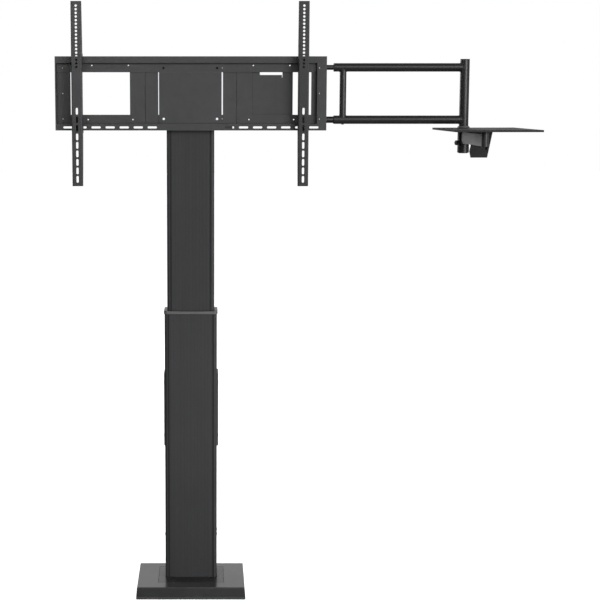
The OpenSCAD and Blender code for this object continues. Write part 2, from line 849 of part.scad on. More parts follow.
// The middle panel butts on both window panels, with a rebate along each seam
seam_w = 1.8;
seam_d = 1.6;
module middle_panel() {
    color("#3a3a3c")
    difference() {
        block([frame_x - middle_half, panel_front, recess_bottom - sheet_t],
            [frame_x + middle_half, panel_back, frame_top - sheet_t]);
        for (s = [-1, 1])
            block([frame_x + s * middle_half - seam_w, panel_front - 1, recess_bottom],
                [frame_x + s * middle_half + seam_w, panel_front + seam_d, window_top]);
        block([-adapter_half - slit_left, panel_front - 1, window_bottom],
            [adapter_half + slit_right, panel_back + 1, window_top]);
        for (s = [-1, 1], z = [adapter_low_z, adapter_high_z])
            bar_y(s * adapter_hole_x, z, adapter_hole_r, panel_front - 1, panel_back + 1);
    }
}

adapter_low_z = recess_bottom + 17.8;
adapter_high_z = recess_top - 17.2;
module top_rail() {
    color("#3d3d3f")
    difference() {
        block([frame_x - frame_w / 2 + left_bar, rail_front, window_top],
            [frame_right - right_bar, panel_front, recess_top]);
        for (s = [-1, 1]) {
            bar_y(s * adapter_hole_x, adapter_high_z, adapter_hole_r, rail_front - 1, panel_front + 1);
            for (h = [-1, 1])
                bar_y(frame_x + s * upper_pair_x + h * upper_pair / 2, dot_top_z, small_hole_r,
                    rail_front - 1, panel_front + 1);
        }
    }
}

module adapter_plate() {
    color("#404042")
    difference() {
        block([-adapter_half, rail_front, recess_bottom], [adapter_half, panel_front, window_top]);
        for (s = [-1, 1])
            bar_y(s * adapter_hole_x, adapter_low_z, adapter_hole_r, rail_front - 1, panel_front + 1);
    }
}

// Cover behind the right window, with a punched slot and its bent tab
notch_top = window_top + 1;
cover_lap = 9;
module accessory_cover() {
    notch_x = window_near + lid_w / 2 - 4.5;
    notch_low = notch_top - notch_h;
    relief = 9;
    color("#3a3a3c")
    translate([frame_x, 0, 0]) {
        difference() {
            block([window_near - cover_lap, panel_back, window_bottom - cover_lap],
                [window_near + lid_w, panel_back + 2, window_top + cover_lap]);
            block([notch_x - notch_w / 2, panel_back - 1, notch_low],
                [notch_x + notch_w / 2, panel_back + 3, notch_top]);
            block([notch_x - notch_w / 2, panel_back - 1, notch_low - relief],
                [notch_x + notch_w / 2 - 1.5, panel_back + 0.6, notch_low + 1]);
            block([notch_x + notch_w / 2 - 1.5, panel_back - 1, notch_low - relief],
                [notch_x + notch_w / 2, panel_back + 3, notch_low + 1]);
        }
        block([notch_x - notch_w / 2, panel_back + 2 - eps, notch_low - 2],
            [notch_x + notch_w / 2 - 1.5, panel_back + 14, notch_low]);
    }
}

// Motor control behind the frame, with a plug socket in its rear face
box_bottom = frame_bottom + sheet_t;
module control_box() {
    x0 = adapter_hole_x + 8.5;
    x1 = x0 + box_w;
    y1 = panel_back + box_d;
    color("#262628")
    difference() {
        union() {
            block([x0, panel_back, box_bottom], [x1, y1, box_bottom + box_h]);
            block([x0, frame_front + sheet_t, box_bottom], [x1, panel_back + eps, recess_bottom - sheet_t]);
        }
        block([x0 + 10, y1 - 12, box_bottom + 14], [x1 - 10, y1 + 1, box_bottom + 32]);
    }
}

// Socket screws that fill the upper adapter holes, with nuts behind the head bracket
module adapter_bolts() {
    color("#161617")
    for (s = [-1, 1]) {
        difference() {
            bar_y(s * adapter_hole_x, adapter_high_z, adapter_hole_r - 0.1, rail_front - 0.8, -inner_d / 2 + 7);
            bar_y(s * adapter_hole_x, adapter_high_z, 1.8, rail_front - 2, rail_front + 2);
        }
        translate([s * adapter_hole_x, -inner_d / 2 + 5, adapter_high_z])
            rotate([90, 0, 0]) difference() {
                cylinder(h = 5, r = 7.2, $fn = 6);
                translate([0, 0, -1]) cylinder(h = 7, r = adapter_hole_r - 0.1);
            }
    }
}

// Pan-head screws along both ends and beside the adapter plate
screw_r = 2;
side_screw_x = adapter_half + 1.9;
module frame_screws() {
    t = 1.2;
    color("#a9a9ad") {
        for (z = [dot_low_z + 1.8, frame_mid - 0.3]) {
            bar_y(frame_x - end_hole_x, z, screw_r, panel_front - t, panel_front);
            bar_y(frame_x + end_hole_x, z, screw_r, frame_front - t, frame_front);
        }
        bar_y(frame_x - end_hole_x, adapter_high_z, screw_r, rail_front - t, rail_front);
        bar_y(frame_x + end_hole_x, adapter_high_z, screw_r, frame_front - t, frame_front);
        bar_y(side_screw_x, adapter_low_z, 1.8, panel_front - t, panel_front);
        bar_y(side_screw_x, adapter_high_z, 1.8, rail_front - t, rail_front);
    }
}

// Two pairs of split blocks that hold the guide rods behind the right panel
module rod_blocks() {
    color("#252527")
    for (x = [rod_start + 5, frame_right - sheet_t - rod_block_w])
        for (z = [upper_z, lower_z]) {
            r = z == upper_z ? upper_rod_r : rod_r;
            difference() {
                block([x, panel_back, z - r - 5.5], [x + rod_block_w, tube_y + r + 5, z + r + 5.5]);
                bar_x(tube_y, z, r, x - 1, x + rod_block_w + 1);
            }
        }
}

module upper_rod() {
    color("#2e2e30") bar_x(tube_y, upper_z, upper_rod_r, rod_start, rod_end);
}

module lower_rod() {
    color("#2e2e30") bar_x(tube_y, lower_z, rod_r, rod_start, rod_end);
}

// Hanging arm: folded channel whose sides are deepest where it meets the frame
arm_bend = 4;
arm_bend_in = arm_bend - sheet_t + 0.5;
module arm_shell() {
    taper = 45;
    difference() {
        intersection() {
            translate([0, 0, arm_bottom]) linear_extrude(arm_len) difference() {
                translate([0, arm_front + arm_d]) round_rect(arm_w, 2 * arm_d, arm_bend);
                translate([0, arm_front + arm_d + sheet_t])
                    round_rect(arm_w - 2 * sheet_t, 2 * arm_d, arm_bend_in);
                translate([-arm_w, arm_back]) square([2 * arm_w, 3 * arm_d]);
            }
            plate_yz(-arm_w, arm_w)
                polygon([[arm_front, arm_bottom], [arm_front + arm_end_d, arm_bottom],
                    [arm_back, frame_bottom - taper], [arm_back, frame_top + taper],
                    [arm_front + arm_end_d, arm_top], [arm_front, arm_top]]);
        }
        for (i = [0 : arm_holes - 1])
            bar_y(0, arm_top - arm_hole_top - i * arm_hole_pitch, arm_hole_r,
                arm_front - 1, arm_front + sheet_t + 1);
        for (i = [0 : arm_slots - 1])
            plate_xz(arm_front - 1, arm_front + sheet_t + 1)
                translate([0, arm_bottom + arm_slot_bottom + i * arm_slot_pitch])
                    slot_z(arm_slot_len, arm_slot_w);
    }
}

// The hook over the frame's top edge and the clip under its bottom edge
module arm_hooks() {
    y_in = arm_front + sheet_t + arm_bend_in;
    y_out = frame_rear + hook_gap + hook_t;
    over = frame_top + hook_gap;
    under = frame_bottom - hook_gap;
    x_off = arm_w / 2 - sheet_t - hook_t;
    for (s = [-1, 1])
        plate_yz(s > 0 ? x_off : -x_off - hook_t, s > 0 ? x_off + hook_t : -x_off)
            polygon([[y_in, over - 26], [frame_front - hook_gap, over - 26], [frame_front - hook_gap, over],
                [frame_rear + hook_gap, over], [frame_rear + hook_gap, over - hook_drop],
                [y_out, over - hook_drop], [y_out, over + 10], [y_in, over + 10]]);
    difference() {
        union() {
            block([-x_off - hook_t, y_in, under - 10], [x_off + hook_t, y_out, under - 6]);
            block([-x_off - hook_t, frame_rear + hook_gap, under - 6 - eps],
                [x_off + hook_t, y_out, under + hook_drop]);
        }
        bar_z(lock_shift, lock_y, 4.05, under - 20, under);
    }
}

lock_y = frame_front + 22;
module lock_screw() {
    under = frame_bottom - hook_gap;
    bar_z(lock_shift, lock_y, 4, under - 24, under);
    bar_z(lock_shift, lock_y, lock_head_r, under - 34, under - 24 + eps);
}

module left_arm() {
    color("#414143") translate([-arm_spacing / 2, 0, 0]) arm_shell();
}
module left_arm_hooks() {
    color("#2b2b2d") translate([-arm_spacing / 2, 0, 0]) arm_hooks();
}
module left_lock_screw() {
    color("#1d1d1f") translate([-arm_spacing / 2, 0, 0]) lock_screw();
}
module right_arm() {
    color("#3d3d3f") translate([arm_spacing / 2, 0, 0]) arm_shell();
}
module right_arm_hooks() {
    color("#2b2b2d") translate([arm_spacing / 2, 0, 0]) mirror([1, 0, 0]) arm_hooks();
}
module right_lock_screw() {
    color("#1d1d1f") translate([arm_spacing / 2, 0, 0]) mirror([1, 0, 0]) lock_screw();
}

// The side arm: two level tubes on the guide rods, a brace and the post
clamp_screw_r = 3;
module level_tube(z, chamfer) {
    difference() {
        union() {
            bar_x(tube_y, z, tube_r, tube_x + chamfer, post_x);
            translate([tube_x, tube_y, z]) rotate([0, 90, 0])
                cylinder(h = chamfer, r1 = tube_r - chamfer, r2 = tube_r);
        }
        bar_x(tube_y, z, tube_bore_r, tube_x - 1, post_x + 1);
        bar_z(post_x, tube_y, post_r, z - 2 * tube_r, z + 2 * tube_r);
    }
}

module upper_tube() {
    color("#29292b") level_tube(upper_z, 0.8);
}

module lower_tube() {
    color("#29292b")
    difference() {
        level_tube(lower_z, 2.4);
        bar_z(brace_x, tube_y, clamp_screw_r, lower_z - 2 * tube_r, lower_z);
    }
}

module brace_tube() {
    color("#29292b")
    difference() {
        bar_z(brace_x, tube_y, brace_r, lower_z, upper_z);
        for (z = [lower_z, upper_z])
            bar_x(tube_y, z, tube_r, brace_x - 2 * brace_r, brace_x + 2 * brace_r);
    }
}

module tube_bushes() {
    color("#d0d0ca")
    for (x = [tube_x, tube_x + 55])
        difference() {
            bar_x(tube_y, upper_z, tube_bore_r, x, x + bush_len);
            bar_x(tube_y, upper_z, upper_rod_r + rod_run, x - 1, x + bush_len + 1);
        }
}

module post() {
    color("#29292b")
    difference() {
        bar_z(post_x, tube_y, post_r, post_foot, post_top);
        bar_z(post_x, tube_y, post_r - post_wall, post_foot - 1, post_top + 1);
    }
}

module post_cap() {
    cap_t = 2;
    color("#1a1a1c") {
        bar_z(post_x, tube_y, post_r, post_top, post_top + cap_t);
        bar_z(post_x, tube_y, post_r - post_wall, post_top - 10, post_top + eps);
        bar_z(post_x, tube_y, post_r, post_foot - cap_t, post_foot);
        bar_z(post_x, tube_y, post_r - post_wall, post_foot - eps, post_foot + 10);
    }
}

// Clamped ring that carries the turning hub, with one groove round it
module stop_collar() {
    color("#202022")
    difference() {
        bar_z(post_x, tube_y, hub_out_r, post_foot, collar_top);
        bar_z(post_x, tube_y, post_r, post_foot - 1, collar_top + 1);
        difference() {
            bar_z(post_x, tube_y, hub_out_r + 1, post_foot + 20, post_foot + 22);
            bar_z(post_x, tube_y, hub_out_r - 0.8, post_foot + 19, post_foot + 23);
        }
    }
}

module tube_screw() {
    color("#121213") {
        bar_z(brace_x, tube_y, clamp_screw_r - rod_run, lower_z - tube_r, lower_z - rod_r - 0.2);
        bar_z(brace_x, tube_y, 4.5, lower_z - tube_r - 2.2, lower_z - tube_r - 0.2);
        bar_z(brace_x, tube_y, clamp_screw_r - rod_run, lower_z - tube_r - 1, lower_z - tube_r + eps);
    }
}

// The tray arm is drawn with the post on its own origin, pointing to -Y, and then placed
module on_post() {
    translate([post_x, tube_y, 0]) rotate([0, 0, tray_turn]) children();
}

module tray_hub() {
    color("#242426")
    on_post() difference() {
        union() {
            bar_z(0, 0, hub_out_r, hub_foot, tray_under);
            bar_z(0, 0, hub_flange_r, tray_under - hub_flange_t, tray_under);
        }
        bar_z(0, 0, post_r + hub_run, hub_foot - 1, tray_under + 1);
        rotate([0, 0, knob_turn]) bar_x(0, knob_z, clamp_screw_r, -hub_out_r - 1, 0);
    }
}

module link_bar() {
    color("#6a6a6c")
    on_post() difference() {
        block([-link_t / 2, -link_len, link_z], [link_t / 2, 0, link_z + link_h]);
        block([-link_t / 2 + link_wall, -link_len - 1, link_z + link_wall],
            [link_t / 2 - link_wall, 1, link_z + link_h - link_wall]);
        bar_z(0, 0, hub_out_r, link_z - 1, link_z + link_h + 1);
        bar_z(0, -link_len, boss_r, link_z - 1, link_z + link_h + 1);
    }
}

module tray_boss() {
    color("#2a2a2c")
    on_post() difference() {
        bar_z(0, -link_len, boss_r, link_z - 2, tray_under);
        bar_z(0, -link_len, boss_r - boss_wall, link_z - 3, link_z + 4);
    }
}

// Gusset to the right of the hub, with one stiffening rib towards the front
module tray_gusset() {
    foot = post_foot - 18.3;
    near = hub_out_r + 2;
    rib_x = gusset_foot_w - 3.7;
    color("#262628")
    on_post() {
        difference() {
            plate_xz(-2.5, 2.5)
                polygon([[0, tray_under - hub_flange_t], [0, hub_foot], [near, hub_foot],
                    [near + 5, hub_foot - 6], [near, hub_foot - 26], [near + 5, foot],
                    [gusset_foot_w, foot], [gusset_top_w, tray_under], [hub_flange_r + seat, tray_under],
                    [hub_flange_r + seat, tray_under - hub_flange_t]]);
            bar_z(0, 0, hub_out_r, foot, tray_under + 1);
        }
        plate_yz(rib_x, rib_x + 4)
            polygon([[-22.5, tray_under], [-22.5, tray_under - 52], [-2.5, hub_foot - 26], [-2.5, tray_under]]);
    }
}

module tray_plate() {
    color("#3d3d3f")
    on_post() difference() {
        block([-tray_left, tray_rear - tray_d, tray_top - tray_rim], [tray_w - tray_left, tray_rear, tray_top]);
        block([-tray_left + sheet_t, tray_rear - tray_d + sheet_t, tray_top - tray_rim - 1],
            [tray_w - tray_left - sheet_t, tray_rear - sheet_t, tray_under]);
        bar_z(0, 0, post_r + 1.5, tray_under - 1, tray_top + 1);
    }
}

// Conical collar that closes the tray's hole round the post
module bell_collar() {
    color("#4c4c4e")
    on_post() rotate_extrude()
        polygon([[post_r + seat, tray_top], [bell_r, tray_top], [bell_r, tray_top + 2],
            [post_r + 1.5, tray_top + bell_h], [post_r + seat, tray_top + bell_h]]);
}

module hub_knob() {
    color("#161618")
    on_post() rotate([0, 0, knob_turn]) {
        bar_x(0, knob_z, clamp_screw_r - rod_run, -hub_out_r - 4, -post_r - 0.2);
        bar_x(0, knob_z, knob_r, -hub_out_r - 1 - knob_len, -hub_out_r - 1);
    }
}

base_plate();
base_cover();
foot_trim();
foot_flange();
foot_bolts();
levelling_screws();
outer_profile();
top_collar();
outer_glides();
wall_bracket();
wall_bracket_screws();
power_inlet();
drive_motor();
gear_housing();
bearing_block();
spindle_bearing();
block_screws();
spindle();
spindle_collar();
spindle_stop();
inner_profile();
inner_plug();
spindle_nut();
inner_glides();
head_plate();
head_bracket();
frame_bars();
left_panel();
right_panel();
middle_panel();
top_rail();
adapter_plate();
accessory_cover();
control_box();
adapter_bolts();
frame_screws();
rod_blocks();
upper_rod();
lower_rod();
left_arm();
left_arm_hooks();
left_lock_screw();
right_arm();
right_arm_hooks();
right_lock_screw();
upper_tube();
lower_tube();
brace_tube();
tube_bushes();
post();
post_cap();
stop_collar();
tube_screw();
tray_hub();
link_bar();
tray_boss();
tray_gusset();
tray_plate();
bell_collar();
hub_knob();
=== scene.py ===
import bpy
import json
import math
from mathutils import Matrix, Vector

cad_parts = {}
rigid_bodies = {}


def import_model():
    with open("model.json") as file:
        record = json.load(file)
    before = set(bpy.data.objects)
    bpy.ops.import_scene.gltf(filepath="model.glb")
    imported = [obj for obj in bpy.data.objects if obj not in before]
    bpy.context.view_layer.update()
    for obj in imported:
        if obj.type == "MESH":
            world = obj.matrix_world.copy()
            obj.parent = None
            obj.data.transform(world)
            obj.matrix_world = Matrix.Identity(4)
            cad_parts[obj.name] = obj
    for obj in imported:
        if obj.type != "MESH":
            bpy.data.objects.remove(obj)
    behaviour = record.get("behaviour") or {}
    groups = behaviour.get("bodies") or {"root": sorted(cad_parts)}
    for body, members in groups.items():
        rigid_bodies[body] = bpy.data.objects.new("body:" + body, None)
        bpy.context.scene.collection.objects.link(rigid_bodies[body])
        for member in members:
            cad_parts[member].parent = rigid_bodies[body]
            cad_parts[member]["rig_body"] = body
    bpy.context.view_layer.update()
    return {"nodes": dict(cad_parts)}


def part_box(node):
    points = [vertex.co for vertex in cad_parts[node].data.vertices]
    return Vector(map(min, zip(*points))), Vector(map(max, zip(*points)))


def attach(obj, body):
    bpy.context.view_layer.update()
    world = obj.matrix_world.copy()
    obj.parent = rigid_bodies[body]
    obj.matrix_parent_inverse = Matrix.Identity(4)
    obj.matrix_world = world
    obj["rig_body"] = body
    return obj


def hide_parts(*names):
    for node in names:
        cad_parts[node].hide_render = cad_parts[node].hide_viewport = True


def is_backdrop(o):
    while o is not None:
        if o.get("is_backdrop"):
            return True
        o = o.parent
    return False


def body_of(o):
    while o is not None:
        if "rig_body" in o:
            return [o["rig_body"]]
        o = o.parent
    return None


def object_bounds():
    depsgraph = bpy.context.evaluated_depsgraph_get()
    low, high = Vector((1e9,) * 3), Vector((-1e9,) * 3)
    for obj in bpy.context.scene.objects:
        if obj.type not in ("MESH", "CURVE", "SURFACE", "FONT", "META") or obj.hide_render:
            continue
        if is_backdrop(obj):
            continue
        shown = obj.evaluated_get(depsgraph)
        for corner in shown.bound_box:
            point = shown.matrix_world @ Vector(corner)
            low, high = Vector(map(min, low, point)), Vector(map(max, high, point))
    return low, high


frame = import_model()
cad = frame["nodes"]
bpy.ops.object.select_all(action="DESELECT")

# The camera stands about five and a half metres in front of the column, at eye height
# and a little to its right, and looks slightly down. The shift puts the column left of
# the middle, as in the photograph, whose pixels the next three numbers are in.
picture_width = 600
focal_length = 1499
aim_across = 208.55
camera = bpy.data.objects.new("camera", bpy.data.cameras.new("camera"))
bpy.context.scene.collection.objects.link(camera)
bpy.context.scene.camera = camera
camera.location = (0.0648, -5.4436, 1.8202)
camera.rotation_euler = (math.radians(90 - 7.787), 0, 0)
camera.data.sensor_width = 36
camera.data.lens = 36 * focal_length / picture_width
camera.data.shift_x = (picture_width / 2 - aim_across) / picture_width
camera.data.clip_end = 60


# The base is a steel plate under a folded sheet cover, with a trim frame round the
# column's foot. Plate and cover are powder coated black, the cover so smoothly that
# its top mirrors the column. Four levelling screws turn in the plate's corners.
class Wire:
    """A value running through a finish's nodes. Arithmetic on it adds Math nodes."""

    def __init__(self, nodes, socket):
        self.nodes = nodes
        self.socket = socket

    def maths(self, operation, first, second):
        return self.nodes.node("ShaderNodeMath", {"operation": operation}, {0: first, 1: second})

    def __add__(self, other):
        return self.maths("ADD", self, other)

    def __sub__(self, other):
        return self.maths("SUBTRACT", self, other)

    def __rsub__(self, other):
        return self.maths("SUBTRACT", other, self)

    def __mul__(self, other):
        return self.maths("MULTIPLY", self, other)

    __radd__ = __add__
    __rmul__ = __mul__


class Nodes:
    """A node tree with one way to add a node, and wires between them."""

    def __init__(self, tree):
        self.tree = tree
        tree.nodes.clear()

    def plug(self, socket, value):
        if isinstance(value, Wire):
            self.tree.links.new(value.socket, socket)
        else:
            socket.default_value = value

    def node(self, kind, settings=None, inputs=None, out=0):
        """Adds a node with its settings first and then its inputs, and gives the output named out."""
        made = self.tree.nodes.new(kind)
        for name, value in (settings or {}).items():
            setattr(made, name, value)
        for name, value in (inputs or {}).items():
            self.plug(made.inputs[name], value)
        return Wire(self, made.outputs[out] if len(made.outputs) else None)

    def band(self, value, low, high):
        """Goes from 0 to 1 as value goes from low to high."""
        return self.node("ShaderNodeMapRange", {"clamp": True}, {0: value, 1: low, 2: high, 3: 0.0, 4: 1.0})

    def colours(self, share, first, second):
        """Goes from the first colour to the second as share goes from 0 to 1."""
        first = first if isinstance(first, Wire) else (*first, 1)
        second = second if isinstance(second, Wire) else (*second, 1)
        return self.node("ShaderNodeMix", {"data_type": "RGBA"}, {0: share, 6: first, 7: second}, out=2)


class Finish(Nodes):
    """One paint, plastic or metal, built up from nodes round a Principled shader."""

    def __init__(self, name, **settings):
        self.material = bpy.data.materials.new(name)
        self.material.use_nodes = True
        super().__init__(self.material.node_tree)
        self.shader = self.tree.nodes.new("ShaderNodeBsdfPrincipled")
        end = self.tree.nodes.new("ShaderNodeOutputMaterial")
        self.tree.links.new(self.shader.outputs[0], end.inputs[0])
        self.place = self.node("ShaderNodeTexCoord", out="Object")
        for socket, value in settings.items():
            self.plug(self.shader.inputs[socket.replace("_", " ")], value)

    def noise(self, scale, detail=3, rough=0.55, stretch=None):
        where = self.place
        if stretch:
            where = self.node("ShaderNodeMapping", None, {"Vector": where, "Scale": stretch})
        return self.node("ShaderNodeTexNoise", None,
                         {"Vector": where, "Scale": scale, "Detail": detail, "Roughness": rough})

    def edges(self, width):
        """1 along sharp edges over the given width, and 0 on the faces."""
        soft = self.node("ShaderNodeBevel", {"samples": 4}, {"Radius": width})
        flat = self.node("ShaderNodeNewGeometry", out="Normal")
        same = self.node("ShaderNodeVectorMath", {"operation": "DOT_PRODUCT"}, {0: soft, 1: flat},
                         out="Value")
        return self.band(same, 0.995, 0.86)

    def occlusion_shade(self, reach):
        """Painted shade: 1 deep in grooves and at the foot of steps, where shade falls, and 0 on open faces.
        """
        sky = self.node("ShaderNodeAmbientOcclusion", {"samples": 6}, {"Distance": reach}, out="AO")
        return self.band(sky, 0.95, 0.5)

    def colour(self, value):
        self.plug(self.shader.inputs["Base Color"], value)

    def roughness(self, value):
        self.plug(self.shader.inputs["Roughness"], value)

    def bump(self, height, distance, strength=1.0):
        made = self.node("ShaderNodeBump", None,
                         {"Height": height, "Distance": distance, "Strength": strength})
        self.plug(self.shader.inputs["Normal"], made)


def toned(colour, share):
    """The colour, darker or lighter by that share."""
    return [part * share for part in colour]


def powder_coat(name, colour, rub, matt=0.5, grain=0.00010, shine=0.3, crease_shade_strength=0.7):
    """Powder coat: soft drifts of tone, fine orange peel of the grain's depth, edges rubbed to the
    colour rub, a little dust, and painted shade that darkens its creases by crease_shade_strength."""
    paint = Finish(name, Specular_IOR_Level=shine)
    drifts = paint.noise(5, 4) * 0.65 + paint.noise(38, 3) * 0.35
    peel = paint.noise(900, 2, 0.6)
    worn = paint.edges(0.0012) * paint.band(paint.noise(60, 4), 0.35, 0.7)
    dust = paint.band(paint.noise(240, 5, 0.7), 0.58, 0.78)
    mottle = paint.band(drifts + peel * 0.18 - 0.09, 0.3, 0.7)
    base = paint.colours(mottle, toned(colour, 0.86), toned(colour, 1.14))
    base = paint.colours(dust * 0.10, base, toned(colour, 2.2))
    base = paint.colours(worn, base, rub)
    # Painted shade: ambient occlusion darkens the colour in creases and at the foot of steps.
    paint.colour(paint.colours(paint.occlusion_shade(0.005) * crease_shade_strength, base, toned(colour, 0.25)))
    paint.roughness((matt + drifts * 0.14 - 0.07) - worn * 0.12 + dust * 0.05)
    paint.bump(peel * 0.7 + paint.noise(2600, 1) * 0.3, grain)
    return paint.material


def dress(material, *names):
    """A CAD node whose shape is right keeps it and gets this finish."""
    for name in names:
        for slot in cad[name].material_slots:
            slot.material = material


def stand_for(piece, material, *names):
    """The piece gets its finish, moves with the nodes' body, and stands for them."""
    piece.data.materials.clear()
    piece.data.materials.append(material)
    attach(piece, body_of(cad[names[0]])[0])
    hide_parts(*names)


def pick(piece):
    """Selects that object alone and makes it the active one."""
    bpy.ops.object.select_all(action="DESELECT")
    piece.select_set(True)
    bpy.context.view_layer.objects.active = piece


def smooth(piece, degrees=32):
    pick(piece)
    bpy.ops.object.shade_smooth_by_angle(angle=math.radians(degrees))


def eased(material, width, *names, segments=2):
    """Copies of CAD nodes with their sharp folds eased, each standing for its node."""
    for name in names:
        piece = bpy.data.objects.new(name + "_eased", cad[name].data.copy())
        bpy.context.scene.collection.objects.link(piece)
        pick(piece)
        bpy.ops.object.mode_set(mode="EDIT")
        bpy.ops.mesh.select_all(action="SELECT")
        bpy.ops.mesh.remove_doubles(threshold=0.000002)
        bpy.ops.mesh.dissolve_limited(angle_limit=math.radians(0.4))
        bpy.ops.object.mode_set(mode="OBJECT")
        ease = piece.modifiers.new("ease", "BEVEL")
        ease.width = width
        ease.segments = segments
        ease.limit_method = "ANGLE"
        ease.angle_limit = math.radians(38)
        bpy.ops.object.modifier_apply(modifier="ease")
        smooth(piece)
        even = piece.modifiers.new("even", "WEIGHTED_NORMAL")
        even.keep_sharp = True
        even.weight = 100
        bpy.ops.object.modifier_apply(modifier="even")
        stand_for(piece, material, name)


plate_black = powder_coat("plate_black", (0.050, 0.050, 0.051), (0.10, 0.10, 0.10), 0.3, 0.00003,
                          shine=0.36, crease_shade_strength=0.3)
eased(plate_black, 0.0012, "base_plate", segments=3)
cover_black = powder_coat("base_gloss_black", (0.026, 0.026, 0.0265), (0.05, 0.05, 0.05), 0.22, 0.00002,
                          shine=0.36, crease_shade_strength=0.2)
eased(cover_black, 0.0012, "base_cover", segments=3)


def moulded(name, colour, matt=0.45, shine=0.35, grain=0.00008):
    """Moulded plastic: spark-eroded grain, faint flow marks, handled edges a little shinier."""
    plastic = Finish(name, Specular_IOR_Level=shine)
    flow = plastic.noise(9, 3, 0.5, (1, 1, 3))
    pits = plastic.node("ShaderNodeTexVoronoi", None, {"Vector": plastic.place, "Scale": 1400.0})
    handled = plastic.edges(0.001) * plastic.band(plastic.noise(45, 3), 0.4, 0.7)
    base = plastic.colours(plastic.band(flow, 0.3, 0.7), toned(colour, 0.86), toned(colour, 1.14))
    plastic.colour(plastic.colours(handled * 0.6, base, toned(colour, 2)))
    plastic.roughness(matt + flow * 0.12 - 0.06 - handled * 0.1)
    plastic.bump(pits, grain, 0.6)
    return plastic.material


eased(moulded("foot_trim_plastic", (0.013, 0.013, 0.0135), 0.28), 0.0006, "foot_trim")


def plated(name, colour, matt=0.34, turned=220.0, axis=(0, 0, 1)):
    """Plated or ground steel: fine turning lines round its axis, a cloudy film, dull spots where it
    tarnished."""
    steel = Finish(name, Metallic=1.0)
    lines = steel.noise(turned, 2, 0.5, [1 + 11 * part for part in axis])
    cloud = steel.noise(26, 4)
    spots = steel.band(steel.noise(130, 4, 0.65), 0.62, 0.76)
    base = steel.colours(cloud, toned(colour, 0.8), colour)
    steel.colour(steel.colours(spots * 0.5, base, toned(colour, 0.45)))
    steel.roughness(matt + cloud * 0.16 - 0.08 + lines * 0.1 + spots * 0.2)
    steel.bump(lines, 0.00004, 0.6)
    return steel.material


zinc = plated("zinc_plated_steel", (0.50, 0.50, 0.51), 0.4)
dress(zinc, "levelling_screws", "foot_bolts")

# A flange with a collar is welded to the column's foot and bolted to the plate. The
# columns are ribbed aluminium extrusions, powder coated matt black. A moulded collar
# with two ears closes the fixed one, and two rings of six acetal pads guide them.
bracket_black = powder_coat("bracket_black", (0.030, 0.030, 0.031), (0.09, 0.09, 0.09), 0.5)
dress(bracket_black, "foot_flange")


def extruded(name, colour, half_width):
    """Powder-coated extrusion: the die's long lines show faintly through the coat. The shadow groove
    beside the bead at each side is darkened as painted shade, and so are its creases."""
    bead_width = 0.011
    groove_width = 0.0055
    blur = 0.0004
    coat = Finish(name, Specular_IOR_Level=0.25)
    lines = coat.noise(70, 3, 0.6, (1, 1, 0.02))
    drifts = coat.noise(4, 4)
    peel = coat.noise(1000, 2, 0.6)
    rubs = coat.band(coat.noise(30, 5, 0.7, (1, 1, 0.12)), 0.62, 0.8)
    worn = coat.edges(0.0008) * coat.band(coat.noise(50, 4), 0.4, 0.7)
    mottle = coat.band(lines * 0.5 + drifts * 0.5, 0.35, 0.65)
    base = coat.colours(mottle, toned(colour, 0.9), toned(colour, 1.1))
    base = coat.colours(rubs * 0.2, base, toned(colour, 1.8))
    base = coat.colours(worn * 0.6, base, toned(colour, 2.6))
    # Painted shade: the shadow groove beside each bead, found by its distance in from the side, is darkened,
    # and so are the creases.
    across = coat.node("ShaderNodeSeparateXYZ", None, {0: coat.place}, out="X")
    inward = half_width - coat.node("ShaderNodeMath", {"operation": "ABSOLUTE"}, {0: across})
    begun = coat.band(inward, bead_width - blur, bead_width)
    ended = coat.band(inward, bead_width + groove_width + blur, bead_width + groove_width)
    painted_groove_shade = coat.occlusion_shade(0.004) * 0.55 + begun * ended * 0.75
    coat.colour(coat.colours(painted_groove_shade, base, toned(colour, 0.2)))
    coat.roughness(0.5 + lines * 0.12 - 0.06 - rubs * 0.08)
    coat.bump(lines * 0.5 + peel * 0.5, 0.00007)
    return coat.material


for name, shade in (("outer_profile", 0.030), ("inner_profile", 0.0275)):
    half_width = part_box(name)[1][0]
    dress(extruded(name + "_black", (shade, shade, shade * 1.05), half_width), name)
eased(moulded("collar_plastic", (0.088, 0.088, 0.090), 0.42), 0.0008, "top_collar", segments=3)
acetal = moulded("natural_acetal", (0.62, 0.62, 0.58), 0.4, 0.4, 0.00003)
dress(acetal, "outer_glides", "inner_glides")


# The wall bracket is a U of five and a half millimetre steel round the column's back,
# screwed to its sides with four button heads. Its rear web bolts to the wall.
def place(piece, at, facing):
    """Stands a piece that was made upright at the origin on its place, and fixes that in its mesh."""
    pick(piece)
    piece.rotation_euler = Vector(facing).to_track_quat("Z", "Y").to_euler()
    piece.location = at
    bpy.ops.object.transform_apply(location=True, rotation=True, scale=True)
    return piece


